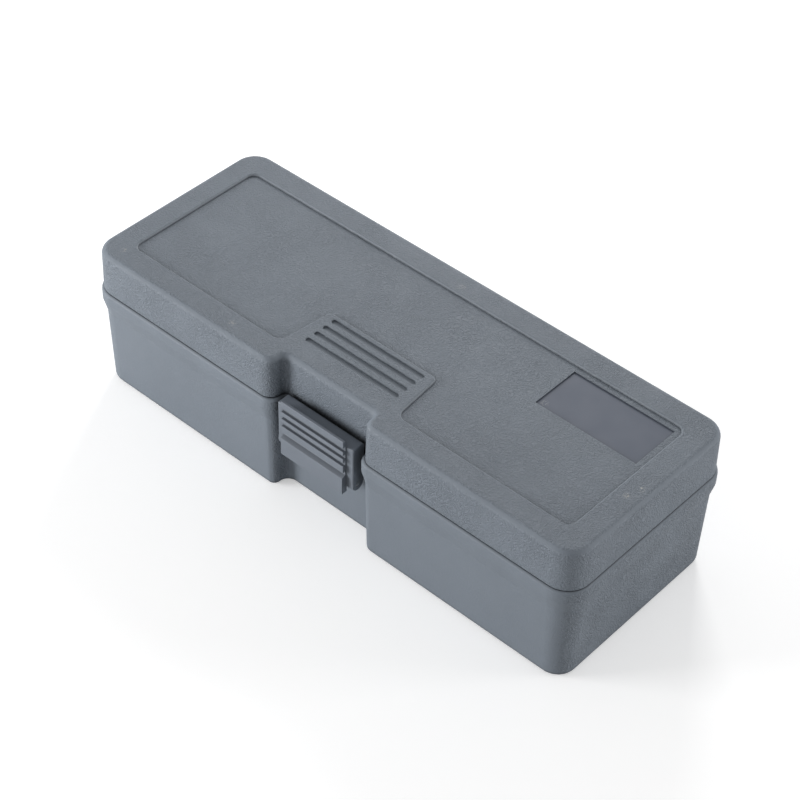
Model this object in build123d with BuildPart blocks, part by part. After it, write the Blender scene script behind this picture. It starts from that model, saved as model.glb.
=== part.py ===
"""A handheld brix refractometer in its moulded carrying case, in millimetres.

X runs along the case, the latch faces -Y, the lid opens about the back edge and Z is up.
The case stands on z = 0, with the origin under the middle of its rim.
The instrument lies on its side in the tray: its prism is towards -X and its "up" is -Y.
"""

import os
from math import atan2, cos, degrees, radians, sin, tan

from build123d import *

# Case shells
case_length = 204.0  # over the base's rim
case_width = 77.0  # over the base's rim
case_height = 55.9
seam_height = 40.1
base_wall = 2.0
base_floor = 2.0
base_draft = 1.6  # degrees
base_foot_radius = 2.6
rim_edge_radius = 1.2
lid_wall = 1.8
lid_roof = 2.0
lid_draft = 1.1  # degrees
lid_edge_radius = 2.2
lid_foot_radius = 0.5
rim_step = 1.0  # how far the rim stands out of the base's wall
rim_face = 4.4  # height of the rim's upright face
rim_slope = 5.0  # height of the slope under it
rim_ledge = 0.7  # the rim stands this far outside the lid
corner_radius = 8.0
lip_thickness = 0.9
lip_height = 1.5
lip_gap = 0.2

# Notch for the latch, in the middle of the front
notch_width = 37.0  # in the base, at the seam
lid_notch_width = 38.3
notch_depth = 6.2
notch_corner_radius = 4.0
notch_root_radius = 2.0

# Lid's top: sunk panel, grip slots and label field
panel_end_margin = 10.8  # these margins run from the rim
panel_back_margin = 11.1
panel_front_margin = 10.9
panel_depth = 0.8
panel_corner_radius = 3.0
panel_edge_radius = 0.75
grip_pad_depth = 20.7
grip_pad_back_width = 45.2
grip_pad_front_width = 49.4
grip_pad_back_radius = 2.0
grip_pad_front_radius = 3.5
slot_count = 4
slot_length = 38.4
slot_width = 1.85
slot_depth = 0.7
slot_pitch = 3.9
slot_middle = 12.1  # from the panel's front
slot_edge_radius = 0.2
label_length = 38.5
label_width = 19.0
label_depth = 0.4
label_edge_gap = 2.2

# Lid hinge, two pins across the back
hinge_end_margin = 47.0  # from the hinge's middle to the rim's end
hinge_radius = 3.0
hinge_lid_width = 12.0
hinge_base_width = 8.6
hinge_gap = 0.3
hinge_pin_radius = 1.2
pin_running_gap = 0.05

# Latch
latch_width = 32.2
latch_set_back = 0.9  # from the rim's front to the latch's plate
latch_depth = 4.9
latch_rise = 1.9  # latch's top over the seam
latch_wall = 1.4
latch_roof = 1.4
latch_edge_radius = 0.5
latch_pivot_drop = 13.9  # seam to the pivot
latch_lobe_radius = 2.3
latch_skirt_drop = 1.0  # pivot to the low edge of the front strips
latch_pin_radius = 0.8
thumb_width = 26.4
thumb_rise = 4.7  # thumb piece's top over the seam
thumb_drop = 17.5  # seam to its low edge
thumb_stand_out = 1.5
thumb_lip = 1.0
thumb_seat = 0.3
thumb_pocket_side = 0.6  # wall between the thumb piece's pocket and its end
tongue_drop = 10.7  # seam to the tongue's top
tongue_stand_out = 1.9
bar_depth = 1.1
bar_edge_radius = 0.2
bar_edges = ((0.0, 2.6), (4.3, 5.8), (7.3, 8.8), (10.4, 13.2))  # below the thumb piece's top
ledge_drop = 0.8
lug_width = 3.6
lug_offset = 10.4
lug_radius = 1.75
catch_width = 18.0
catch_reach = 3.5
catch_height = 2.3
catch_drop = 0.1  # seam to the catch's top
catch_side_gap = 0.4

# Foam
foam_gap = 0.3
tray_drop = 4.1  # seam to the tray's top
pocket_gap = 0.3
pad_gap = 0.6

# Instrument: its axis lies along X
axis_back_room = 26.5  # from the rim's back to the axis
axis_rise = 22.0  # from the floor to the axis
tip_room = 9.0  # from the rim's end to the instrument's tip
housing_length = 48.0
slope_run = 37.0
housing_width = 28.0  # along Z
housing_under = 13.0  # axis to the side away from the prism
housing_tip_drop = 8.0  # axis to the low end of the prism slope
housing_deck = 12.0  # axis to the deck
housing_edge_radius = 1.0
housing_bore_radius = 9.5
prism_length = 27.0
prism_width = 20.0
prism_depth = 9.0
prism_proud = 0.4
prism_bevel = 4.0
glue_gap = 0.05

# Daylight plate over the prism
plate_length = 36.0
plate_width = 24.0
plate_thickness = 2.6
plate_prism_gap = 0.3
plate_hinge_back = 1.5
plate_knuckle_radius = 2.0
plate_pin_radius = 1.0
plate_rim = 3.0
plate_window_depth = 1.2
plate_nib_length = 3.0
plate_nib_width = 8.0
ear_radius = 2.6
ear_gap = 0.3

# Calibration screw and the lens cell that it shifts
screw_joint_gap = 4.8  # from the housing's joint
screw_head_radius = 2.8
screw_head_height = 2.6
screw_stem_radius = 1.5
screw_slot_width = 0.7
screw_slot_depth = 0.9
cell_radius = 8.6
cell_wall = 1.1
cell_length = 5.6
cell_joint_gap = 4.0
cell_ledge = 1.2
objective_thickness = 3.0

# Body tube, grip and scale
tube_radius = 13.5
tube_wall = 1.5
spigot_length = 2.0
spigot_gap = 0.1
spigot_wall = 1.1
neck_radius = 11.5
neck_bore_radius = 10.0
neck_length = 16.4
neck_barrel_overlap = 10.4
grip_start_gap = 17.0  # from the housing's joint
grip_end_gap = 7.0  # to the tube's end
grip_thickness = 2.0
grip_rib_count = 12
grip_rib_groove = 0.7
grip_rib_width = 1.5
slip_gap = 0.02
reticle_gap = 21.0  # to the tube's end
reticle_ring_length = 4.0
reticle_ring_wall = 1.3
reticle_ledge = 1.0
reticle_thickness = 1.5
strip_length = 26.0
strip_width = 6.0
strip_thickness = 0.8
strip_joint_gap = 5.0
strip_screw_radius = 1.0
strip_screw_head_radius = 1.8
strip_screw_head_height = 0.8

# Eyepiece
ring_gap = 0.3
ring_radius = 16.5
ring_length = 15.8
ring_flute_count = 24
ring_flute_radius = 0.7
barrel_gap = 0.2
barrel_wall = 1.5
barrel_length = 26.0
eye_lens_depth = 8.0
eye_lens_thickness = 4.0
lens_ledge = 0.9
retainer_length = 1.6
retainer_wall = 0.8
cup_room = 30.0  # from the eyecup to the rim's end
cup_length = 22.2
cup_flare = 9.0
cup_base_radius = 14.5
cup_rim_radius = 18.0
cup_mouth_radius = 15.5
focus_travel = 2.0

# Pipette and screwdriver in the tray's front right part
tools_sink = 6.0  # from the tray's top to their axes
tools_room = 10.0  # from the pipette and the handle to the rim's end
pipette_tip_radius = 1.0
pipette_tip_length = 14.0
pipette_tube_radius = 2.2
pipette_tube_length = 56.0
pipette_bulb_radius = 5.5
pipette_bulb_length = 36.0
pipette_wall = 0.6
driver_room = 8.9  # from the screwdriver's axis to the rim's front
driver_notch_gap = 7.5
blade_radius = 1.0
blade_tip_length = 5.0
blade_tip_thickness = 0.5
blade_seat = 10.0
handle_radius = 3.5
handle_length = 34.0
handle_flute_count = 6
handle_flute_radius = 0.8
finger_slot_length = 26.0
finger_slot_front_width = 12.0
finger_slot_front_gap = 20.0  # from the instrument's axis
finger_slot_back_width = 7.0
finger_slot_back_gap = 17.5
finger_slot_rise = 10.0
swing_pocket_room = 5.2  # from the pocket to the rim
swing_pocket_radius = 8.0

# Worked out from the sizes above
rim_bottom = seam_height - rim_face
wall_length = case_length - 2 * rim_step
wall_width = case_width - 2 * rim_step
lid_grow = rim_step - rim_ledge
lid_ceiling = case_height - lid_roof
hinge_y = case_width / 2 + hinge_radius + hinge_gap
hinge_x = case_length / 2 - hinge_end_margin
tray_top = seam_height - tray_drop
latch_front = latch_set_back - case_width / 2
latch_back = latch_front + latch_depth
latch_top = seam_height + latch_rise
latch_pivot_y = latch_front + latch_lobe_radius
latch_pivot_z = seam_height - latch_pivot_drop
latch_skirt = latch_pivot_z - latch_skirt_drop
thumb_top = seam_height + thumb_rise
thumb_bottom = seam_height - thumb_drop
thumb_front = latch_front - thumb_stand_out
thumb_inner = latch_front + thumb_seat
tongue_top = seam_height - tongue_drop
tongue_front = latch_front - tongue_stand_out
catch_top = seam_height - catch_drop
catch_bottom = catch_top - catch_height
notch_wall = notch_depth - wall_width / 2
catch_front = notch_wall - lid_grow - catch_reach
panel_back = case_width / 2 - panel_back_margin
panel_front = panel_front_margin - case_width / 2
half_panel = case_length / 2 - panel_end_margin
grip_pad_back = panel_front + grip_pad_depth
axis_y = case_width / 2 - axis_back_room
axis_z = base_floor + axis_rise
tools_z = tray_top - tools_sink
tip_x = tip_room - case_length / 2
deck_front_x = tip_x + slope_run
joint_x = tip_x + housing_length
screw_x = joint_x - screw_joint_gap
cell_end = joint_x - cell_joint_gap
cell_start = cell_end - cell_length
cup_end = case_length / 2 - cup_room
cup_start = cup_end - cup_length
barrel_end = cup_end - cup_flare
barrel_start = barrel_end - barrel_length
eye_lens_seat = barrel_end - eye_lens_depth
neck_end = barrel_start + neck_barrel_overlap
tube_end = neck_end - neck_length
grip_start = joint_x + grip_start_gap
grip_end = tube_end - grip_end_gap
reticle_x = tube_end - reticle_gap
strip_start = joint_x + strip_joint_gap
tube_bore_radius = tube_radius - tube_wall
grip_radius = tube_radius + slip_gap + grip_thickness
barrel_radius = neck_bore_radius - barrel_gap
barrel_bore_radius = barrel_radius - barrel_wall
ring_start = tube_end + ring_gap
ring_bore_radius = neck_radius + ring_gap
housing_side = housing_width / 2
pad_bottom = axis_z + cup_rim_radius + pad_gap
slope_angle = degrees(atan2(housing_deck + housing_tip_drop, deck_front_x - tip_x))
slope_length = (deck_front_x - tip_x) / cos(radians(slope_angle))
plate_offset = prism_proud + plate_prism_gap + plate_thickness / 2
tools_end = case_length / 2 - tools_room
driver_y = driver_room - case_width / 2
driver_start = notch_width / 2 + driver_notch_gap
driver_handle_start = tools_end - handle_length
pipette_y = (axis_y - cup_rim_radius + driver_y + handle_radius) / 2
pipette_bulb_end = tools_end
pipette_bulb_start = pipette_bulb_end - pipette_bulb_length
pipette_tube_start = pipette_bulb_start - pipette_tube_length
pipette_start = pipette_tube_start - pipette_tip_length


def slope_point(along, out):
    """A point by the prism slope: along it from its top end towards the tip, and out of it."""
    lean = radians(slope_angle)
    x = deck_front_x - along * cos(lean) - out * sin(lean)
    up = housing_deck - along * sin(lean) + out * cos(lean)
    return x, axis_y - up


plate_hinge_x, plate_hinge_y = slope_point(-plate_hinge_back, plate_offset)


def station(x):
    """The plane across the instrument's axis at x."""
    return Plane(origin=(x, axis_y, axis_z), x_dir=(0, 1, 0), z_dir=(1, 0, 0))


def across(x, y, z):
    """A plane across X at any point."""
    return Plane(origin=(x, y, z), x_dir=(0, 1, 0), z_dir=(1, 0, 0))


def case_plan(grow, level, notch=notch_width):
    """The case's outline with its notch on one level, moved outwards by grow."""
    with BuildSketch(Plane.XY.offset(level)) as plan:
        Rectangle(wall_length, wall_width)
        with Locations((0, -wall_width / 2)):
            Rectangle(notch, 2 * notch_depth, mode=Mode.SUBTRACT)
        outer = plan.vertices().filter_by(lambda v: abs(v.X) > wall_length / 4)
        fillet(outer, corner_radius)
        root = plan.vertices().filter_by(lambda v: abs(v.Y - notch_wall) < lip_gap)
        fillet(root.filter_by(lambda v: abs(v.X) < wall_length / 4), notch_root_radius)
        mouth = plan.vertices().filter_by(lambda v: v.Y < lip_gap - wall_width / 2)
        fillet(mouth.filter_by(lambda v: abs(v.X) < wall_length / 4), notch_corner_radius)
        if grow:
            offset(amount=grow)
    return plan.sketch


def block(x_span, y_span, z_span, mode=Mode.ADD):
    """A box between three pairs of limits."""
    with BuildSketch(Plane.XY.offset(z_span[0])) as base:
        with Locations(((x_span[0] + x_span[1]) / 2, (y_span[0] + y_span[1]) / 2)):
            Rectangle(x_span[1] - x_span[0], y_span[1] - y_span[0])
    extrude(base.sketch, amount=z_span[1] - z_span[0], mode=mode)


def bar(plane, length, radius, mode=Mode.ADD):
    """A round bar that starts on a plane."""
    with BuildSketch(plane) as disc:
        Circle(radius)
    extrude(disc.sketch, amount=length, mode=mode)


def ring(start, end, outer, inner, mode=Mode.ADD):
    """A ring around the instrument's axis."""
    with BuildSketch(station(start)) as band:
        Circle(outer)
        Circle(inner, mode=Mode.SUBTRACT)
    extrude(band.sketch, amount=end - start, mode=mode)


def cradle(start, end, radius, y=axis_y, z=axis_z):
    """A round-bottomed trough for a bar along X, open at the top."""
    bar(across(start, y, z), end - start, radius, Mode.SUBTRACT)
    block((start, end), (y - radius, y + radius), (z, case_height), Mode.SUBTRACT)


def hinge_knuckles(spans, sign):
    """Knuckles on the lid's hinge axis: sign 1 joins them to the lid, -1 to the base."""
    for low, high in spans:
        bar(across(low, hinge_y, seam_height), high - low, hinge_radius)
        web = sorted((seam_height + sign * pocket_gap, seam_height + sign * hinge_radius))
        wall_face = wall_width / 2 - lip_thickness
        block((low, high), (wall_face, hinge_y), web)
        bore = hinge_pin_radius + pin_running_gap
        bar(across(low, hinge_y, seam_height), high - low, bore, Mode.SUBTRACT)


def hinge_spans(centre):
    """X limits of the lid's knuckle and of the base's two, for one hinge."""
    half = hinge_lid_width / 2
    inner = half + hinge_gap
    outer = inner + hinge_base_width
    lid_span = [(centre - half, centre + half)]
    base_spans = [(centre - outer, centre - inner), (centre + inner, centre + outer)]
    return lid_span, base_spans


hinge_centres = {"left": -hinge_x, "right": hinge_x}

os.makedirs("parts", exist_ok=True)

# Case base with its rim, lip, hinge knuckles and latch lugs
with BuildPart() as case_base:
    extrude(case_plan(0, seam_height), amount=-seam_height, taper=base_draft)
    foot = case_base.faces().sort_by(Axis.Z)[0]
    fillet(foot.edges(), base_foot_radius)
    extrude(case_plan(rim_step, rim_bottom), amount=rim_face)
    rim_top = case_base.faces().sort_by(Axis.Z)[-1]
    fillet(rim_top.edges(), rim_edge_radius)
    rim_inset = rim_step + (rim_face + rim_slope) * tan(radians(base_draft))
    rim_angle = degrees(atan2(rim_inset, rim_slope))
    extrude(case_plan(rim_step, rim_bottom), amount=-rim_slope, taper=rim_angle)
    extrude(case_plan(-(base_wall - lip_thickness), seam_height), amount=lip_height)
    lip_top = seam_height + lip_height
    cavity_depth = lip_top - base_floor
    cavity_plan = case_plan(-base_wall, lip_top)
    extrude(cavity_plan, amount=-cavity_depth, taper=base_draft, mode=Mode.SUBTRACT)
    for centre in hinge_centres.values():
        hinge_knuckles(hinge_spans(centre)[1], -1)
    for side in (-1, 1):
        lug_start = side * lug_offset - lug_width / 2
        lug_span = (lug_start, lug_start + lug_width)
        bar(across(lug_start, latch_pivot_y, latch_pivot_z), lug_width, lug_radius)
        lug_heights = (latch_pivot_z - lug_radius, latch_pivot_z + lug_radius)
        block(lug_span, (latch_pivot_y, notch_wall + base_wall), lug_heights)
        lug_bore = latch_pin_radius + slip_gap
        bar(across(lug_start, latch_pivot_y, latch_pivot_z), lug_width, lug_bore, Mode.SUBTRACT)
    window_half = catch_width / 2 + catch_side_gap
    window_back = notch_wall + base_wall + catch_side_gap
    window_heights = (catch_bottom - catch_side_gap, case_height)
    block((-window_half, window_half), (tongue_front, window_back), window_heights, Mode.SUBTRACT)
case_base.part.label = "case_base"
export_step(case_base.part, "parts/case_base.step")

# Case lid with its sunk panel, grip slots, label field and catch
with BuildPart() as case_lid:
    lid_height = case_height - seam_height
    lid_plan = case_plan(lid_grow, seam_height, lid_notch_width)
    extrude(lid_plan, amount=lid_height, taper=lid_draft)
    roof = case_lid.faces().sort_by(Axis.Z)[-1]
    fillet(roof.edges(), lid_edge_radius)
    lid_foot = case_lid.faces().sort_by(Axis.Z)[0]
    fillet(lid_foot.edges(), lid_foot_radius)
    lid_cavity = case_plan(lid_grow - lid_wall, seam_height, lid_notch_width)
    extrude(lid_cavity, amount=lid_ceiling - seam_height, taper=lid_draft, mode=Mode.SUBTRACT)
    rebate = case_plan(lip_gap + lip_thickness - base_wall, seam_height)
    extrude(rebate, amount=lip_height + lip_gap, mode=Mode.SUBTRACT)
    with BuildSketch(Plane.XY.offset(case_height - panel_depth)) as panel_plan:
        with BuildLine():
            Polyline(
                (-half_panel, panel_back),
                (half_panel, panel_back),
                (half_panel, panel_front),
                (grip_pad_front_width / 2, panel_front),
                (grip_pad_back_width / 2, grip_pad_back),
                (-grip_pad_back_width / 2, grip_pad_back),
                (-grip_pad_front_width / 2, panel_front),
                (-half_panel, panel_front),
                close=True,
            )
        make_face()
        ends = panel_plan.vertices().filter_by(lambda v: abs(v.X) > half_panel / 2)
        fillet(ends, panel_corner_radius)
        pad = panel_plan.vertices().filter_by(lambda v: abs(v.X) < half_panel / 2)
        fillet(pad.sort_by(Axis.Y)[:2], grip_pad_front_radius)
        pad = panel_plan.vertices().filter_by(lambda v: abs(v.X) < half_panel / 2)
        fillet(pad.sort_by(Axis.Y)[-2:], grip_pad_back_radius)
    extrude(amount=panel_depth, mode=Mode.SUBTRACT)
    panel_rim = case_lid.faces().sort_by(Axis.Z)[-1].inner_wires()[0]
    fillet(panel_rim.edges(), panel_edge_radius)
    with BuildSketch(Plane.XY.offset(case_height - slot_depth)):
        with Locations((0, panel_front + slot_middle)):
            with GridLocations(0, slot_pitch, 1, slot_count):
                SlotOverall(slot_length, slot_width)
    extrude(amount=slot_depth, mode=Mode.SUBTRACT)
    slot_rims = case_lid.faces().sort_by(Axis.Z)[-1].inner_wires()
    slot_rims = slot_rims.sort_by(lambda wire: wire.length)[:slot_count]
    fillet([edge for rim in slot_rims for edge in rim.edges()], slot_edge_radius)
    label_right = half_panel - label_edge_gap
    label_back = panel_back - label_edge_gap
    label_floor = case_height - panel_depth - label_depth
    block(
        (label_right - label_length, label_right),
        (label_back - label_width, label_back),
        (label_floor, case_height),
        Mode.SUBTRACT,
    )
    catch_half = catch_width / 2
    stem_back = notch_wall - lid_grow + lid_wall
    block((-catch_half, catch_half), (catch_front, stem_back), (catch_bottom, catch_top))
    stem_front = notch_wall - lid_grow + lip_gap
    stem_top = seam_height + lip_height + lip_gap
    block((-catch_half, catch_half), (stem_front, stem_back), (catch_bottom, stem_top))
    for centre in hinge_centres.values():
        hinge_knuckles(hinge_spans(centre)[0], 1)
case_lid.part.label = "case_lid"
export_step(case_lid.part, "parts/case_lid.step")

# Lid hinge pins
hinge_pin_length = hinge_lid_width + 2 * (hinge_gap + hinge_base_width)
for side, centre in hinge_centres.items():
    with BuildPart() as hinge_pin:
        pin_start = across(centre - hinge_pin_length / 2, hinge_y, seam_height)
        bar(pin_start, hinge_pin_length, hinge_pin_radius)
    hinge_pin.part.label = f"hinge_pin_{side}"
    export_step(hinge_pin.part, f"parts/hinge_pin_{side}.step")

# Latch: a channel with cheeks, and the ridged thumb piece on its front
with BuildPart() as latch:
    half_latch = latch_width / 2
    latch_span = (latch_front, latch_back)
    block((-half_latch, half_latch), latch_span, (latch_skirt, latch_top))
    front_edges = latch.edges().filter_by(Axis.Z).group_by(Axis.Y)[0]
    fillet(front_edges, latch_edge_radius)
    top_edges = latch.faces().sort_by(Axis.Z)[-1].edges()
    fillet(top_edges, latch_edge_radius)
    heel_depth = (latch_front + latch_wall, 0)
    block((-half_latch, half_latch), heel_depth, (thumb_bottom, latch_pivot_z), Mode.SUBTRACT)
    bar(across(-half_latch, latch_pivot_y, latch_pivot_z), latch_width, latch_lobe_radius)
    half_inside = half_latch - latch_wall
    inside_heights = (thumb_bottom, latch_top - latch_roof)
    block((-half_inside, half_inside), heel_depth, inside_heights, Mode.SUBTRACT)
    with BuildSketch(across(-thumb_width / 2, 0, 0)):
        with BuildLine():
            outline = [(thumb_inner, thumb_bottom), (tongue_front, thumb_bottom)]
            outline += [(tongue_front, tongue_top)]
            ledge_inner = thumb_front + bar_depth
            outline += [(ledge_inner, tongue_top + ledge_drop)]
            for top_drop, low_drop in reversed(bar_edges):
                bar_top = thumb_top - top_drop
                bar_low = thumb_top - low_drop
                outline += [(ledge_inner, bar_low), (thumb_front, bar_low)]
                outline += [(thumb_front, bar_top), (ledge_inner, bar_top)]
            outline = outline[:-1]
            outline += [(thumb_front + thumb_lip, thumb_top)]
            outline += [(thumb_inner, latch_top)]
            Polyline(*outline, close=True)
        thumb_profile = make_face()
        fillet(thumb_profile.vertices(), bar_edge_radius)
    extrude(amount=thumb_width)
    half_pocket = thumb_width / 2 - thumb_pocket_side
    pocket_depth = (thumb_inner, 0)
    block((-half_pocket, half_pocket), pocket_depth, inside_heights, Mode.SUBTRACT)
    latch_bore = latch_pin_radius + pin_running_gap
    latch_bore_start = across(-half_latch, latch_pivot_y, latch_pivot_z)
    bar(latch_bore_start, latch_width, latch_bore, Mode.SUBTRACT)
latch.part.label = "latch"
export_step(latch.part, "parts/latch.step")

with BuildPart() as latch_pin:
    latch_pin_length = latch_width - 2 * pin_running_gap
    latch_pin_start = across(-latch_pin_length / 2, latch_pivot_y, latch_pivot_z)
    bar(latch_pin_start, latch_pin_length, latch_pin_radius)
latch_pin.part.label = "latch_pin"
export_step(latch_pin.part, "parts/latch_pin.step")

# Foam tray in the base
with BuildPart() as foam_tray:
    tray_inset = base_wall + foam_gap + (seam_height - tray_top) * tan(radians(base_draft))
    tray_plan = case_plan(-tray_inset, tray_top)
    extrude(tray_plan, amount=-(tray_top - base_floor), taper=base_draft)
    pocket_side = housing_side + pocket_gap
    pocket_x = (swing_pocket_room - case_length / 2, joint_x + pocket_gap)
    pocket_y = (swing_pocket_room - case_width / 2, axis_y + housing_under + pocket_gap)
    with BuildSketch(Plane.XY.offset(axis_z - pocket_side)) as swing_pocket:
        with Locations((sum(pocket_x) / 2, sum(pocket_y) / 2)):
            Rectangle(pocket_x[1] - pocket_x[0], pocket_y[1] - pocket_y[0])
        front_corners = swing_pocket.vertices().sort_by(Axis.Y)[:2]
        fillet(front_corners.sort_by(Axis.X)[0], swing_pocket_radius)
    extrude(amount=case_height, mode=Mode.SUBTRACT)
    cradle(joint_x, grip_start - pocket_gap, tube_radius + pocket_gap)
    cradle(grip_start - pocket_gap, grip_end + pocket_gap, grip_radius + pocket_gap)
    cradle(grip_end, ring_start - pocket_gap, tube_radius + pocket_gap)
    ring_pocket_end = cup_start - pocket_gap
    cradle(ring_start - pocket_gap, ring_pocket_end, ring_radius + pocket_gap)
    cup_pocket_end = cup_end + focus_travel + pocket_gap
    cradle(ring_pocket_end, cup_pocket_end, cup_rim_radius + pocket_gap)
    for slot_y, slot_breadth in (
        (axis_y - finger_slot_front_gap, finger_slot_front_width),
        (axis_y + finger_slot_back_gap, finger_slot_back_width),
    ):
        with BuildSketch(Plane.XY.offset(base_floor + finger_slot_rise)):
            with Locations((0, slot_y)):
                SlotOverall(finger_slot_length, slot_breadth)
        extrude(amount=case_height, mode=Mode.SUBTRACT)
    tip_pocket = pipette_tube_radius + pocket_gap
    cradle(pipette_start - pocket_gap, pipette_bulb_start, tip_pocket, pipette_y, tools_z)
    bulb_end = pipette_bulb_end + pocket_gap
    bulb_pocket = pipette_bulb_radius + pocket_gap
    cradle(pipette_bulb_start - pocket_gap, bulb_end, bulb_pocket, pipette_y, tools_z)
    blade_pocket = blade_radius + pocket_gap
    cradle(driver_start - pocket_gap, driver_handle_start, blade_pocket, driver_y, tools_z)
    handle_end = driver_handle_start + handle_length + pocket_gap
    handle_pocket = handle_radius + pocket_gap
    cradle(driver_handle_start - pocket_gap, handle_end, handle_pocket, driver_y, tools_z)
foam_tray.part.label = "foam_tray"
export_step(foam_tray.part, "parts/foam_tray.step")

# Foam pad under the lid's roof
with BuildPart() as foam_pad:
    pad_shrink = (pad_bottom - seam_height) * tan(radians(lid_draft))
    pad_grow = -base_wall - foam_gap - pad_shrink
    pad_plan = case_plan(pad_grow, pad_bottom, lid_notch_width)
    extrude(pad_plan, amount=lid_ceiling - pad_bottom, taper=lid_draft)
foam_pad.part.label = "foam_pad"
export_step(foam_pad.part, "parts/foam_pad.step")

# Prism housing, lying on its side, with ears for the daylight plate
slope_top = Vector(*slope_point(0, 0), axis_z)
slope_dir = Vector(-cos(radians(slope_angle)), sin(radians(slope_angle)), 0)
slope_out = Vector(-sin(radians(slope_angle)), -cos(radians(slope_angle)), 0)
prism_middle = slope_top + slope_dir * (slope_length / 2)
prism_plane = Plane(origin=prism_middle, x_dir=slope_dir, z_dir=slope_out)

with BuildPart() as prism_housing:
    with BuildSketch(Plane.XY.offset(axis_z - housing_side)):
        with BuildLine():
            Polyline(
                (joint_x, axis_y + housing_under),
                (tip_x, axis_y + housing_under),
                (tip_x, axis_y + housing_tip_drop),
                (deck_front_x, axis_y - housing_deck),
                (joint_x, axis_y - housing_deck),
                close=True,
            )
        make_face()
    extrude(amount=housing_width)
    long_edges = prism_housing.edges().filter_by(Axis.X)
    fillet(long_edges, housing_edge_radius)
    for side in (-1, 1):
        ear_inner = plate_width / 2 + ear_gap
        ear_low = axis_z + (ear_inner if side > 0 else -housing_side)
        with BuildSketch(Plane.XY.offset(ear_low)):
            with Locations((plate_hinge_x, plate_hinge_y)):
                Circle(ear_radius)
            with Locations((plate_hinge_x, (plate_hinge_y + axis_y) / 2)):
                Rectangle(2 * ear_radius, axis_y - plate_hinge_y)
        extrude(amount=housing_side - ear_inner)
    bar(station(joint_x), tip_x / 2 - joint_x / 2, housing_bore_radius, Mode.SUBTRACT)
    with BuildSketch(prism_plane.offset(-prism_depth)):
        Rectangle(prism_length + 2 * glue_gap, prism_width + 2 * glue_gap)
    extrude(amount=prism_depth, mode=Mode.SUBTRACT)
    pin_bore_start = Plane((plate_hinge_x, plate_hinge_y, axis_z - housing_side))
    bar(pin_bore_start, housing_width, plate_pin_radius + slip_gap, Mode.SUBTRACT)
    screw_top = Plane((screw_x, axis_y - housing_deck, axis_z), z_dir=(0, 1, 0))
    bar(screw_top, housing_deck, screw_stem_radius + pin_running_gap, Mode.SUBTRACT)
prism_housing.part.label = "prism_housing"
export_step(prism_housing.part, "parts/prism_housing.step")

with BuildPart() as main_prism:
    with BuildSketch(prism_plane.offset(prism_proud - prism_depth)):
        Rectangle(prism_length, prism_width)
    extrude(amount=prism_depth)
    deep_edges = main_prism.edges().filter_by(Axis.Z).sort_by_distance(station(joint_x).origin)
    chamfer(deep_edges[0], prism_bevel)
main_prism.part.label = "main_prism"
export_step(main_prism.part, "parts/main_prism.step")

# Daylight plate with its hinge knuckle, sunk window and finger nib
with BuildPart() as daylight_plate:
    plate_middle = Vector(*slope_point(0, plate_offset), axis_z)
    plate_plane = Plane(origin=plate_middle, x_dir=slope_dir, z_dir=slope_out)
    with BuildSketch(plate_plane.offset(-plate_thickness / 2)):
        plate_centre = (plate_length - plate_hinge_back) / 2
        with Locations((plate_centre, 0)):
            Rectangle(plate_length + plate_hinge_back, plate_width)
        nib_centre = plate_length - plate_hinge_back / 2
        with Locations((nib_centre + plate_nib_length / 2, 0)):
            Rectangle(plate_nib_length + plate_hinge_back, plate_nib_width)
    extrude(amount=plate_thickness)
    with BuildSketch(plate_plane.offset(plate_thickness / 2 - plate_window_depth)):
        window_length = plate_length - 2 * plate_rim - plate_knuckle_radius
        with Locations((plate_knuckle_radius + plate_rim + window_length / 2, 0)):
            RectangleRounded(window_length, plate_width - 2 * plate_rim, plate_rim / 2)
    extrude(amount=plate_window_depth, mode=Mode.SUBTRACT)
    knuckle_start = Plane((plate_hinge_x, plate_hinge_y, axis_z - plate_width / 2))
    bar(knuckle_start, plate_width, plate_knuckle_radius)
    bar(knuckle_start, plate_width, plate_pin_radius + pin_running_gap, Mode.SUBTRACT)
daylight_plate.part.label = "daylight_plate"
export_step(daylight_plate.part, "parts/daylight_plate.step")

with BuildPart() as plate_hinge_pin:
    bar(pin_bore_start, housing_width, plate_pin_radius)
plate_hinge_pin.part.label = "plate_hinge_pin"
export_step(plate_hinge_pin.part, "parts/plate_hinge_pin.step")

# Calibration screw on the deck, and the objective cell that it shifts
with BuildPart() as calibration_screw:
    screw_tip = Plane((screw_x, axis_y - cell_radius - pocket_gap, axis_z), z_dir=(0, -1, 0))
    stem_length = housing_deck + pocket_gap - cell_radius - pocket_gap
    bar(screw_tip, stem_length + pin_running_gap, screw_stem_radius)
    head_base = Plane((screw_x, axis_y - housing_deck - pocket_gap, axis_z), z_dir=(0, -1, 0))
    bar(head_base, screw_head_height, screw_head_radius)
    with BuildSketch(head_base.offset(screw_head_height - screw_slot_depth)):
        Rectangle(2 * screw_head_radius, screw_slot_width)
    extrude(amount=screw_slot_depth, mode=Mode.SUBTRACT)
calibration_screw.part.label = "calibration_screw"
export_step(calibration_screw.part, "parts/calibration_screw.step")

with BuildPart() as objective_cell:
    ring(cell_start, cell_end, cell_radius, cell_radius - cell_wall)
    ring(cell_start, cell_start + cell_ledge, cell_radius, cell_radius - cell_wall - cell_ledge)
objective_cell.part.label = "objective_cell"
export_step(objective_cell.part, "parts/objective_cell.step")

with BuildPart() as objective_lens:
    lens_start = cell_start + cell_ledge
    bar(station(lens_start), objective_thickness, cell_radius - cell_wall - slip_gap)
objective_lens.part.label = "objective_lens"
export_step(objective_lens.part, "parts/objective_lens.step")

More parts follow.
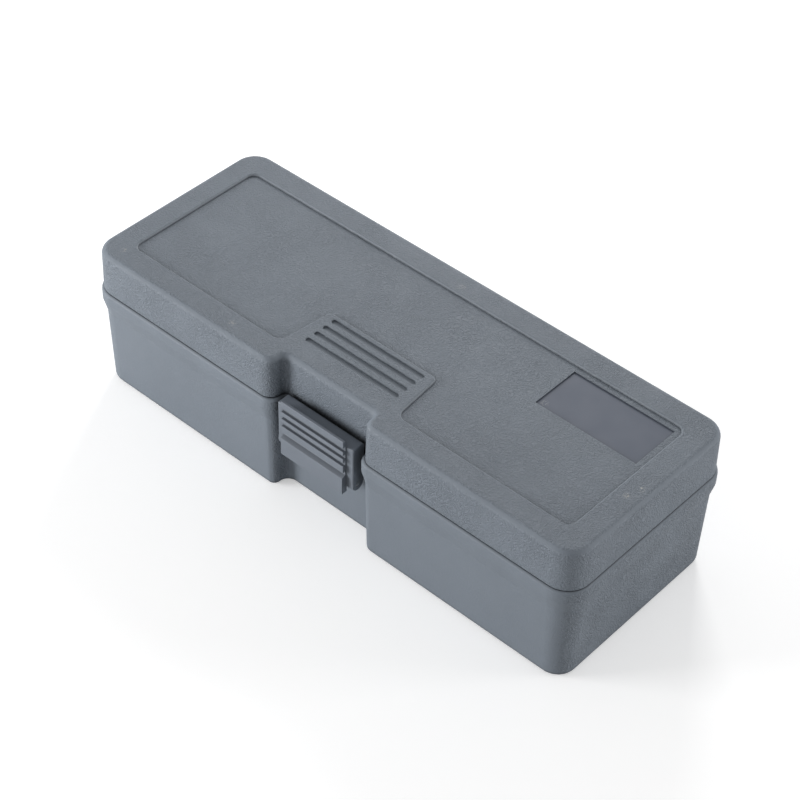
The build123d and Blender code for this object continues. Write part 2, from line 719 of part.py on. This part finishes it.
# Body tube with its spigot and its neck
with BuildPart() as body_tube:
    ring(joint_x, tube_end, tube_radius, tube_bore_radius)
    spigot_radius = housing_bore_radius - spigot_gap
    spigot_bore = spigot_radius - spigot_wall
    ring(joint_x - spigot_length, joint_x + tube_wall, spigot_radius, spigot_bore)
    ring(joint_x, joint_x + tube_wall, tube_radius, spigot_bore)
    ring(tube_end - tube_wall, neck_end, neck_radius, neck_bore_radius)
    ring(tube_end - tube_wall, tube_end, tube_radius, neck_bore_radius)
body_tube.part.label = "body_tube"
export_step(body_tube.part, "parts/body_tube.step")

# Rubber grip with shallow ring grooves
with BuildPart() as rubber_grip:
    ring(grip_start, grip_end, grip_radius, tube_radius + slip_gap)
    groove_pitch = (grip_end - grip_start) / (grip_rib_count + 1)
    for index in range(grip_rib_count):
        groove_start = grip_start + (index + 1) * groove_pitch - grip_rib_width / 2
        groove_floor = grip_radius - grip_rib_groove
        groove_end = groove_start + grip_rib_width
        ring(groove_start, groove_end, grip_radius + slip_gap, groove_floor, Mode.SUBTRACT)
    end_edges = rubber_grip.edges().group_by(Axis.X)
    fillet(end_edges[0].sort_by(SortBy.RADIUS)[-1], grip_rib_groove)
    fillet(end_edges[-1].sort_by(SortBy.RADIUS)[-1], grip_rib_groove)
rubber_grip.part.label = "rubber_grip"
export_step(rubber_grip.part, "parts/rubber_grip.step")

# Temperature compensating strip inside the tube, with its screw
strip_y = axis_y + tube_bore_radius - strip_thickness - strip_screw_head_height
with BuildPart() as bimetal_strip:
    strip_x = (strip_start, strip_start + strip_length)
    strip_y_span = (strip_y, strip_y + strip_thickness)
    strip_z = (axis_z - strip_width / 2, axis_z + strip_width / 2)
    block(strip_x, strip_y_span, strip_z)
    screw_place = (strip_start + strip_width / 2, strip_y, axis_z)
    strip_bore = Plane(screw_place, z_dir=(0, 1, 0))
    bar(strip_bore, strip_thickness, strip_screw_radius + slip_gap, Mode.SUBTRACT)
bimetal_strip.part.label = "bimetal_strip"
export_step(bimetal_strip.part, "parts/bimetal_strip.step")

with BuildPart() as strip_screw:
    strip_screw_head = Plane(screw_place, z_dir=(0, -1, 0))
    bar(strip_screw_head, strip_screw_head_height, strip_screw_head_radius)
    strip_screw_length = strip_thickness + strip_screw_head_height - 2 * pin_running_gap
    bar(strip_bore, strip_screw_length, strip_screw_radius)
strip_screw.part.label = "strip_screw"
export_step(strip_screw.part, "parts/strip_screw.step")

# Scale glass in its ring
reticle_ring_radius = tube_bore_radius - slip_gap
reticle_seat_radius = reticle_ring_radius - reticle_ring_wall
with BuildPart() as reticle_ring:
    ring(reticle_x, reticle_x + reticle_ring_length, reticle_ring_radius, reticle_seat_radius)
    ledge_radius = reticle_seat_radius - reticle_ledge
    ring(reticle_x, reticle_x + reticle_ledge, reticle_ring_radius, ledge_radius)
reticle_ring.part.label = "reticle_ring"
export_step(reticle_ring.part, "parts/reticle_ring.step")

with BuildPart() as reticle_glass:
    glass_start = station(reticle_x + reticle_ledge)
    bar(glass_start, reticle_thickness, reticle_seat_radius - slip_gap)
reticle_glass.part.label = "reticle_glass"
export_step(reticle_glass.part, "parts/reticle_glass.step")

# Focus ring with flutes
with BuildPart() as focus_ring:
    ring(ring_start, ring_start + ring_length, ring_radius, ring_bore_radius)
    with BuildSketch(station(ring_start)):
        with PolarLocations(ring_radius, ring_flute_count):
            Circle(ring_flute_radius)
    extrude(amount=ring_length, mode=Mode.SUBTRACT)
focus_ring.part.label = "focus_ring"
export_step(focus_ring.part, "parts/focus_ring.step")

# Eyepiece: barrel, lens, retainer and rubber eyecup
with BuildPart() as eyepiece_barrel:
    ring(barrel_start, barrel_end, barrel_radius, barrel_bore_radius)
    ledge_start = eye_lens_seat - lens_ledge
    ring(ledge_start, eye_lens_seat, barrel_radius, barrel_bore_radius - lens_ledge)
eyepiece_barrel.part.label = "eyepiece_barrel"
export_step(eyepiece_barrel.part, "parts/eyepiece_barrel.step")

with BuildPart() as eyepiece_lens:
    bar(station(eye_lens_seat), eye_lens_thickness, barrel_bore_radius - slip_gap)
eyepiece_lens.part.label = "eyepiece_lens"
export_step(eyepiece_lens.part, "parts/eyepiece_lens.step")

with BuildPart() as lens_retainer:
    retainer_start = eye_lens_seat + eye_lens_thickness
    retainer_radius = barrel_bore_radius - slip_gap
    retainer_bore = retainer_radius - retainer_wall
    ring(retainer_start, retainer_start + retainer_length, retainer_radius, retainer_bore)
lens_retainer.part.label = "lens_retainer"
export_step(lens_retainer.part, "parts/lens_retainer.step")

with BuildPart() as eyecup:
    with BuildSketch(Plane((0, axis_y, axis_z))):
        with BuildLine():
            cup_bore_radius = barrel_radius + slip_gap
            Polyline(
                (cup_start, cup_bore_radius),
                (cup_start, cup_base_radius),
                (barrel_end, cup_base_radius),
                (cup_end, cup_rim_radius),
                (cup_end, cup_mouth_radius),
                (barrel_end + lens_ledge, cup_bore_radius),
                close=True,
            )
        make_face()
    revolve(axis=Axis((0, axis_y, axis_z), (1, 0, 0)))
eyecup.part.label = "eyecup"
export_step(eyecup.part, "parts/eyecup.step")

# Pipette: one hollow moulding with tip, tube and bulb
def pipette_outline(inset):
    """Half of the pipette's profile, moved inwards by inset and open at the tip."""
    with BuildSketch(Plane((0, pipette_y, tools_z))) as outline:
        with BuildLine():
            Polyline(
                (pipette_start, 0),
                (pipette_start, pipette_tip_radius - inset),
                (pipette_tube_start, pipette_tube_radius - inset),
                (pipette_bulb_start + inset, pipette_tube_radius - inset),
                (pipette_bulb_start + inset, pipette_bulb_radius - inset),
                (pipette_bulb_end - inset, pipette_bulb_radius - inset),
                (pipette_bulb_end - inset, 0),
                close=True,
            )
        make_face()
        shoulders = outline.vertices().sort_by(Axis.Y)[-2:]
        fillet(shoulders, pipette_bulb_radius - pipette_tube_radius - inset)
    return outline.sketch


with BuildPart() as pipette:
    pipette_axis = Axis((0, pipette_y, tools_z), (1, 0, 0))
    revolve(pipette_outline(0), axis=pipette_axis)
    revolve(pipette_outline(pipette_wall), axis=pipette_axis, mode=Mode.SUBTRACT)
pipette.part.label = "pipette"
export_step(pipette.part, "parts/pipette.step")

# Screwdriver: steel blade in a fluted handle
with BuildPart() as screwdriver_blade:
    blade_start = across(driver_start, driver_y, tools_z)
    bar(blade_start, driver_handle_start + blade_seat - driver_start, blade_radius)
    tip_x_span = (driver_start, driver_start + blade_tip_length)
    for side in (-1, 1):
        face_z = tools_z + side * blade_tip_thickness / 2
        tip_z_span = sorted((face_z, tools_z + side * 2 * blade_radius))
        tip_y_span = (driver_y - 2 * blade_radius, driver_y + 2 * blade_radius)
        block(tip_x_span, tip_y_span, tip_z_span, Mode.SUBTRACT)
screwdriver_blade.part.label = "screwdriver_blade"
export_step(screwdriver_blade.part, "parts/screwdriver_blade.step")

with BuildPart() as screwdriver_handle:
    handle_start = across(driver_handle_start, driver_y, tools_z)
    bar(handle_start, handle_length, handle_radius)
    with BuildSketch(handle_start):
        with PolarLocations(handle_radius, handle_flute_count):
            Circle(handle_flute_radius)
    extrude(amount=handle_length, mode=Mode.SUBTRACT)
    bar(handle_start, blade_seat + slip_gap, blade_radius + slip_gap, Mode.SUBTRACT)
screwdriver_handle.part.label = "screwdriver_handle"
export_step(screwdriver_handle.part, "parts/screwdriver_handle.step")
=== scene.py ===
"""Looks for the refractometer's case: materials, foam, lights and the photograph's camera."""

import math

import bmesh
import bpy
from mathutils import Matrix, Vector


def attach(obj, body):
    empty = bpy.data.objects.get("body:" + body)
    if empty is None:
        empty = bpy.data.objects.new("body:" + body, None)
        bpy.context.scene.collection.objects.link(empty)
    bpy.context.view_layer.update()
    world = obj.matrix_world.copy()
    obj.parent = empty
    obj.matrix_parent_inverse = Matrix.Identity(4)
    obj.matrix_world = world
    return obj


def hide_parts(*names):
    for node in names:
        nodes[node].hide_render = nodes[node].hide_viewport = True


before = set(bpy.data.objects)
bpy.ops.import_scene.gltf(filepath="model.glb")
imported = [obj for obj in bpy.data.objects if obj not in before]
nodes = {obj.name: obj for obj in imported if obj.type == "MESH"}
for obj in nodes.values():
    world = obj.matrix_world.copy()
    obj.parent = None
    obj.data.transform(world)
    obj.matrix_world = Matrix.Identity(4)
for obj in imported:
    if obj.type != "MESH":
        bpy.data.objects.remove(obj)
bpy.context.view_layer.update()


# Places on the case, in metres: the smooth floors of the slots and the label field, the
# panel's rounded edges, the seam, and small pale scuffs
SLOT_BOX = ((-0.0193, 0.0193), (-0.0225, -0.0085), (0.05515, 0.0553))
LABEL_BOX = ((0.0504, 0.0891), (0.0061, 0.0253), (0.0546, 0.05485))
PANEL_BOX = ((-0.0925, 0.0925), (-0.0289, 0.0287), (0.055, 0.0558))
# SEAM_BOX: where the painted shade in gaps is at full strength
SEAM_BOX = ((-0.11, 0.11), (-0.05, 0.05), (0.036, 0.0435))
SCUFFS = (
    (-0.0005, 0.0308, 0.0559),
    (0.097, -0.0016, 0.0559),
    (0.0956, -0.0068, 0.0559),
    (0.0526, 0.0082, 0.0551),
    (-0.0411, -0.0323, 0.0559),
    (-0.0921, -0.0313, 0.0555),
)

# Colours of the lid's small areas
LABEL_COLOUR = (0.1, 0.116, 0.152, 1)
# Panel's rounded edges: a lighter colour that is partly rubbed wear and partly a painted highlight
RUBBED_AND_HIGHLIGHT_COLOUR = (0.3, 0.33, 0.36, 1)
# Slot floors: lighter than the plastic, as painted light against the shade in the slots
SLOT_FLOOR_PAINTED_LIGHT_COLOUR = (0.26, 0.295, 0.34, 1)
SCUFF_COLOUR = (0.42, 0.42, 0.41, 1)

# Grain, colour and gloss of the moulded plastic; scales are per metre
GRAIN_SCALE = 1150.0
VALLEY_SHARE = 0.13
FINE_SCALE_SHARE = 2.5
FINE_DEPTH_SHARE = 0.25
PATCH_SCALE = 60.0
CLOUD_SCALE = 45.0
GLOSS_SCALE = 160.0
GLOSS_SPREAD = 0.12
COLOUR_SPREAD = 0.025
PLASTIC_SHINE = 0.4

# Scuffs
FLECK_SCALE = 2600.0
SCUFF_SIZE = 0.0016

# Painted shade in narrow gaps and corners, from an occlusion node: how far it looks, the openness
# at which it is full and at which it ends, the colour's share at its darkest, and the least colour
# kept away from the seam
GAP_REACH = 0.0035
GAP_CLOSED = 0.4
GAP_OPEN = 0.92
GAP_SHADE = 0.15
KEPT_AWAY_FROM_SEAM = 0.65

# Foam pieces
EDGE_ROUNDING = 0.0006
MERGE_GAP = 1e-6
FLAT_ANGLE = math.radians(1)
SHARP_ANGLE = math.radians(40)


# Materials
def new_material(name):
    """An empty material: its node tree, its shader, and the material itself."""
    material = bpy.data.materials.new(name)
    material.use_nodes = True
    tree = material.node_tree
    shader = tree.nodes["Principled BSDF"]
    return tree, shader, material


def add(tree, kind, inputs=None, **settings):
    """A node with its settings and inputs."""
    node = tree.nodes.new(kind)
    for key, value in settings.items():
        setattr(node, key, value)
    for key, value in (inputs or {}).items():
        if isinstance(value, bpy.types.NodeSocket):
            tree.links.new(value, node.inputs[key])
        else:
            node.inputs[key].default_value = value
    return node


def object_place(tree):
    """Coordinates in metres that move with the body."""
    return add(tree, "ShaderNodeTexCoord").outputs["Object"]


def ramp(tree, value, low, high):
    """A value mapped from low..high onto 0..1."""
    node = add(tree, "ShaderNodeMapRange", {"Value": value, "From Min": low, "From Max": high})
    return node.outputs["Result"]


def mix_colour(tree, amount, first, second):
    """Two colours mixed by a factor."""
    node = add(tree, "ShaderNodeMix", data_type="RGBA")
    for index, value in ((0, amount), (6, first), (7, second)):
        if isinstance(value, bpy.types.NodeSocket):
            tree.links.new(value, node.inputs[index])
        else:
            node.inputs[index].default_value = value
    return node.outputs[2]


def noise(tree, place, scale, detail=2.0, roughness=0.5):
    """Noise between 0 and 1 at a scale per metre."""
    inputs = {"Vector": place, "Scale": scale, "Detail": detail, "Roughness": roughness}
    return add(tree, "ShaderNodeTexNoise", inputs).outputs["Fac"]


def bent_place(tree, place, scale, reach):
    """Coordinates pushed about by noise, so that a pattern built on them curls."""
    inputs = {"Vector": place, "Scale": scale, "Detail": 2.0}
    push = add(tree, "ShaderNodeTexNoise", inputs).outputs["Color"]
    centred = add(tree, "ShaderNodeVectorMath", {0: push, 1: (0.5, 0.5, 0.5)}, operation="SUBTRACT")
    inputs = {0: centred.outputs[0], 1: (reach, reach, reach), 2: place}
    return add(tree, "ShaderNodeVectorMath", inputs, operation="MULTIPLY_ADD").outputs[0]


def maths(tree, operation, first, second=0.0, third=0.0):
    """One sum on two or three values."""
    node = add(tree, "ShaderNodeMath", {0: first, 1: second, 2: third}, operation=operation)
    return node.outputs[0]


def wrinkles(tree, place, scale):
    """Leather grain: rounded islands parted by thin curling valleys, from 0 to 1."""
    curled = bent_place(tree, place, scale * 0.45, 1.1 / scale)
    field = noise(tree, curled, scale, 1.0)
    from_middle = maths(tree, "ABSOLUTE", maths(tree, "SUBTRACT", field, 0.5))
    return ramp(tree, from_middle, 0.0, VALLEY_SHARE)


def flecks(tree, place, spots, size):
    """A mask for small scuffs: broken flecks inside a few round spots."""
    broken = ramp(tree, noise(tree, place, FLECK_SCALE, 3.0), 0.54, 0.6)
    found = 0.0
    for spot in spots:
        gap = add(tree, "ShaderNodeVectorMath", {0: place, 1: spot}, operation="DISTANCE")
        near = ramp(tree, gap.outputs["Value"], size, size * 0.3)
        found = maths(tree, "MAXIMUM", near, found)
    return maths(tree, "MULTIPLY", broken, found)


def within(tree, axes, limits):
    """A mask that is 1 inside a box, from pairs of limits for X, Y and Z."""
    found = 1.0
    for axis, (low, high) in zip("XYZ", limits):
        above = maths(tree, "GREATER_THAN", axes.outputs[axis], low)
        below = maths(tree, "LESS_THAN", axes.outputs[axis], high)
        found = maths(tree, "MULTIPLY", maths(tree, "MULTIPLY", above, below), found)
    return found


def moulded_plastic(
    name, colour, top_depth, wall_depth, end_depth, rough, lid=False, seam=True
):
    """Moulded plastic with a leather grain of its own depth on top, walls and ends."""
    tree, shader, material = new_material(name)
    place = object_place(tree)
    axes = add(tree, "ShaderNodeSeparateXYZ", {"Vector": place})
    coordinates = add(tree, "ShaderNodeTexCoord")
    facing = add(tree, "ShaderNodeSeparateXYZ", {"Vector": coordinates.outputs["Normal"]})
    flat = ramp(tree, facing.outputs["Z"], 0.8, 0.98)
    upright = ramp(tree, maths(tree, "ABSOLUTE", facing.outputs["Z"]), 0.7, 0.2)
    end_on = ramp(tree, maths(tree, "ABSOLUTE", facing.outputs["X"]), 0.5, 0.9)
    wall = maths(tree, "MULTIPLY_ADD", end_on, end_depth - wall_depth, wall_depth)
    depth = maths(tree, "MULTIPLY", upright, wall)
    depth = maths(tree, "MULTIPLY_ADD", flat, top_depth, depth)
    patch = ramp(tree, noise(tree, place, PATCH_SCALE, 2.0), 0.35, 0.65)
    depth = maths(tree, "MULTIPLY", depth, maths(tree, "MULTIPLY_ADD", patch, 0.5, 0.75))
    cloud = ramp(tree, noise(tree, place, CLOUD_SCALE, 3.0), 0.35, 0.65)
    dark = [c * (1 - COLOUR_SPREAD) for c in colour] + [1]
    light = [c * (1 + COLOUR_SPREAD) for c in colour] + [1]
    body = mix_colour(tree, cloud, dark, light)
    uneven = noise(tree, place, GLOSS_SCALE, 3.0)
    gloss = maths(tree, "MULTIPLY_ADD", uneven, GLOSS_SPREAD, rough - GLOSS_SPREAD / 2)
    if lid:
        sunk = within(tree, axes, SLOT_BOX)
        label = within(tree, axes, LABEL_BOX)
        smooth = maths(tree, "SUBTRACT", 1.0, maths(tree, "MAXIMUM", sunk, label))
        depth = maths(tree, "MULTIPLY", depth, smooth)
        body = mix_colour(tree, label, body, LABEL_COLOUR)
        # Painted light: the slot floors are coloured lighter than the plastic to lift the shade in
        # them
        body = mix_colour(tree, sunk, body, SLOT_FLOOR_PAINTED_LIGHT_COLOUR)
        # The panel's rounded edges: a lighter colour that is partly rubbed wear and partly a
        # painted highlight, with lower roughness
        edge = ramp(tree, facing.outputs["Z"], 0.97, 0.85)
        edge = maths(tree, "MULTIPLY", edge, ramp(tree, facing.outputs["Z"], 0.1, 0.4))
        rubbed_and_highlight = maths(tree, "MULTIPLY", edge, within(tree, axes, PANEL_BOX))
        body = mix_colour(tree, maths(tree, "MULTIPLY", rubbed_and_highlight, 0.35), body, RUBBED_AND_HIGHLIGHT_COLOUR)
        gloss = maths(tree, "MULTIPLY_ADD", rubbed_and_highlight, -0.2, gloss)
        scuffed = flecks(tree, place, SCUFFS, SCUFF_SIZE)
        body = mix_colour(tree, scuffed, body, SCUFF_COLOUR)
    # Painted shade: the base colour is darkened in narrow gaps and corners, fully at the seam and
    # partly elsewhere
    gap = add(tree, "ShaderNodeAmbientOcclusion", {"Distance": GAP_REACH}, samples=8)
    shaded = ramp(tree, gap.outputs["AO"], GAP_CLOSED, GAP_OPEN)
    at_seam = within(tree, axes, SEAM_BOX) if seam else 0.0
    away = maths(tree, "MULTIPLY_ADD", at_seam, -KEPT_AWAY_FROM_SEAM, KEPT_AWAY_FROM_SEAM)
    shaded = maths(tree, "MAXIMUM", shaded, away)
    gap_shade_colour = [c * GAP_SHADE for c in colour] + [1]
    body = mix_colour(tree, shaded, gap_shade_colour, body)
    tree.links.new(body, shader.inputs["Base Color"])
    tree.links.new(gloss, shader.inputs["Roughness"])
    fine = noise(tree, place, GRAIN_SCALE * FINE_SCALE_SHARE, 2.0)
    coarse = wrinkles(tree, place, GRAIN_SCALE)
    form = maths(tree, "MULTIPLY_ADD", fine, FINE_DEPTH_SHARE, coarse)
    height = maths(tree, "MULTIPLY", form, depth)
    bump = add(tree, "ShaderNodeBump", {"Height": height, "Strength": 1.0, "Distance": 1.0})
    tree.links.new(bump.outputs["Normal"], shader.inputs["Normal"])
    shader.inputs["Specular IOR Level"].default_value = PLASTIC_SHINE
    return material


def plain(name, colour, roughness, metallic=0.0, scale=400.0, depth=0.00002, spread=0.08):
    """A material with a fine uneven finish."""
    tree, shader, material = new_material(name)
    place = object_place(tree)
    speckle = noise(tree, place, scale, 4.0)
    dark = [c * (1 - spread) for c in colour] + [1]
    light = [min(1.0, c * (1 + spread)) for c in colour] + [1]
    body = mix_colour(tree, speckle, dark, light)
    tree.links.new(body, shader.inputs["Base Color"])
    tree.links.new(
        maths(tree, "MULTIPLY_ADD", speckle, 0.12, roughness - 0.06), shader.inputs["Roughness"]
    )
    shader.inputs["Metallic"].default_value = metallic
    bump = add(tree, "ShaderNodeBump", {"Height": speckle, "Strength": 0.4, "Distance": depth})
    tree.links.new(bump.outputs["Normal"], shader.inputs["Normal"])
    return material



# Materials of the nodes
case_colour = (0.173, 0.199, 0.232)
latch_colour = (0.165, 0.187, 0.22)
lid_grain = moulded_plastic("lid_grain", case_colour, 0.00015, 0.00017, 0.00022, 0.6, lid=True)
base_grain = moulded_plastic("base_grain", case_colour, 0.00004, 0.00004, 0.00026, 0.58)
latch_plastic = moulded_plastic(
    "latch_plastic", latch_colour, 0.00001, 0.00001, 0.00001, 0.5, seam=False
)
foam = plain("foam", (0.04, 0.04, 0.043), 0.95, 0.0, 1300.0, 0.001, 0.7)
pin_steel = plain("pin_steel", (0.55, 0.55, 0.55), 0.32, 1.0)
instrument_body = plain("instrument_body", (0.09, 0.09, 0.095), 0.38, 0.6)
black_rubber = plain("black_rubber", (0.028, 0.028, 0.028), 0.7, 0.0, 700.0, 0.00006)
black_plastic = plain("black_plastic", (0.025, 0.025, 0.028), 0.5)
screw_brass = plain("screw_brass", (0.62, 0.45, 0.18), 0.3, 1.0)
pipette_plastic = plain("pipette_plastic", (0.75, 0.78, 0.8), 0.45)
clear_plastic = plain("clear_plastic", (0.78, 0.83, 0.86), 0.25)
clear_plastic.node_tree.nodes["Principled BSDF"].inputs["Transmission Weight"].default_value = 0.4
glass = plain("glass", (0.9, 0.95, 0.97), 0.08)
glass.node_tree.nodes["Principled BSDF"].inputs["Transmission Weight"].default_value = 0.95

node_materials = {
    "case_base": base_grain,
    "case_lid": lid_grain,
    "latch": latch_plastic,
    "hinge_pin_left": pin_steel,
    "hinge_pin_right": pin_steel,
    "latch_pin": pin_steel,
    "foam_tray": foam,
    "foam_pad": foam,
    "prism_housing": instrument_body,
    "main_prism": glass,
    "daylight_plate": clear_plastic,
    "plate_hinge_pin": pin_steel,
    "calibration_screw": screw_brass,
    "objective_cell": instrument_body,
    "objective_lens": glass,
    "body_tube": instrument_body,
    "rubber_grip": black_rubber,
    "bimetal_strip": screw_brass,
    "strip_screw": pin_steel,
    "reticle_ring": instrument_body,
    "reticle_glass": glass,
    "focus_ring": black_plastic,
    "eyepiece_barrel": instrument_body,
    "eyepiece_lens": glass,
    "lens_retainer": instrument_body,
    "eyecup": black_rubber,
    "pipette": pipette_plastic,
    "screwdriver_blade": pin_steel,
    "screwdriver_handle": black_plastic,
}
for name, material in node_materials.items():
    mesh = nodes[name].data
    mesh.materials.clear()
    mesh.materials.append(material)


# Foam, in the frame's shapes, with its cut edges softened
def foam_piece(name, node, body, rounding):
    """A copy of a foam solid whose sharp edges are rounded."""
    form = bmesh.new()
    form.from_mesh(nodes[node].data)
    bmesh.ops.remove_doubles(form, verts=form.verts, dist=MERGE_GAP)
    bmesh.ops.dissolve_limit(form, angle_limit=FLAT_ANGLE, verts=form.verts, edges=form.edges)
    mesh = bpy.data.meshes.new(name)
    form.to_mesh(mesh)
    form.free()
    mesh.materials.clear()
    mesh.materials.append(foam)
    mesh.shade_smooth()
    piece = bpy.data.objects.new(name, mesh)
    bpy.context.scene.collection.objects.link(piece)
    rounded = piece.modifiers.new("rounded", "BEVEL")
    rounded.width = rounding
    rounded.segments = 2
    rounded.limit_method = "ANGLE"
    rounded.angle_limit = SHARP_ANGLE
    rounded.harden_normals = True
    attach(piece, body)
    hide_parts(node)


foam_piece("tray_foam", "foam_tray", "case", EDGE_ROUNDING)
foam_piece("pad_foam", "foam_pad", "lid", EDGE_ROUNDING)

# Floor: near white to the camera, and lit by the lamps and the world alone for the rest
CAMERA_GLOW = 0.4
floor_mesh = bpy.data.meshes.new("floor")
reach = 4.0
floor_mesh.from_pydata(
    [(-reach, -reach, 0), (reach, -reach, 0), (reach, reach, 0), (-reach, reach, 0)],
    [],
    [(0, 1, 2, 3)],
)
floor = bpy.data.objects.new("floor", floor_mesh)
bpy.context.scene.collection.objects.link(floor)
tree, shader, floor_material = new_material("floor")
shader.inputs["Base Color"].default_value = (0.9, 0.9, 0.9, 1)
shader.inputs["Roughness"].default_value = 0.9
shader.inputs["Specular IOR Level"].default_value = 0.1
shader.inputs["Emission Color"].default_value = (1, 1, 1, 1)
path = add(tree, "ShaderNodeLightPath")
glow = maths(tree, "MULTIPLY", path.outputs["Is Camera Ray"], CAMERA_GLOW)
tree.links.new(glow, shader.inputs["Emission Strength"])
floor_mesh.materials.append(floor_material)

# Camera, solved from the photograph
azimuth = math.radians(41.042)
elevation = math.radians(43.088)
roll = math.radians(1.78)
target = Vector((-0.000917, 0.002814, 0.025))
distance = 0.69364
focal_pixels = 2146.86
picture_pixels = 800
back = Vector(
    (
        math.sin(azimuth) * math.cos(elevation),
        -math.cos(azimuth) * math.cos(elevation),
        math.sin(elevation),
    )
)
right = Vector((math.cos(azimuth), math.sin(azimuth), 0))
up = back.cross(right)
turned_right = math.cos(roll) * right + math.sin(roll) * up
turned_up = -math.sin(roll) * right + math.cos(roll) * up
camera_data = bpy.data.cameras.new("camera")
camera_data.sensor_fit = "HORIZONTAL"
camera_data.sensor_width = 36
camera_data.lens = camera_data.sensor_width * focal_pixels / picture_pixels
camera_data.clip_start = 0.01
camera_data.clip_end = 20
camera = bpy.data.objects.new("camera", camera_data)
axes = Matrix((turned_right, turned_up, back)).transposed()
camera.matrix_world = Matrix.Translation(target + back * distance) @ axes.to_4x4()
bpy.context.scene.collection.objects.link(camera)
bpy.context.scene.camera = camera

# Lights
world = bpy.data.worlds.new("world")
bpy.context.scene.world = world
world.use_nodes = True
tree = world.node_tree
soft = tree.nodes["Background"]
soft.inputs["Color"].default_value = (1, 1, 1, 1)
soft.inputs["Strength"].default_value = 0.42
seen = add(tree, "ShaderNodeBackground", {"Color": (1, 1, 1, 1), "Strength": 1.0})
path = add(tree, "ShaderNodeLightPath")
shown = maths(tree, "MAXIMUM", path.outputs["Is Camera Ray"], path.outputs["Is Glossy Ray"])
shown = maths(tree, "MAXIMUM", shown, path.outputs["Is Transmission Ray"])
choose = add(tree, "ShaderNodeMixShader", {0: shown, 1: soft.outputs[0], 2: seen.outputs[0]})
tree.links.new(choose.outputs[0], tree.nodes["World Output"].inputs["Surface"])


def lamp(name, place, aim, size, power):
    """A soft square lamp at a place, facing a point."""
    data = bpy.data.lights.new(name, "AREA")
    data.size = size
    data.energy = power
    thing = bpy.data.objects.new(name, data)
    thing.location = place
    facing = (Vector(aim) - Vector(place)).to_track_quat("-Z", "Y")
    thing.rotation_euler = facing.to_euler()
    bpy.context.scene.collection.objects.link(thing)


lamp("key", (-0.6, -0.65, 0.2), (-0.05, 0, 0.03), 0.35, 6.8)
lamp("side", (1.0, 0.8, 0.14), (0.08, 0, 0.02), 0.4, 8.4)
lamp("top", (-0.3, 0.5, 0.36), (0, 0, 0.05), 0.2, 1.95)

bpy.context.scene.view_settings.view_transform = "Standard"
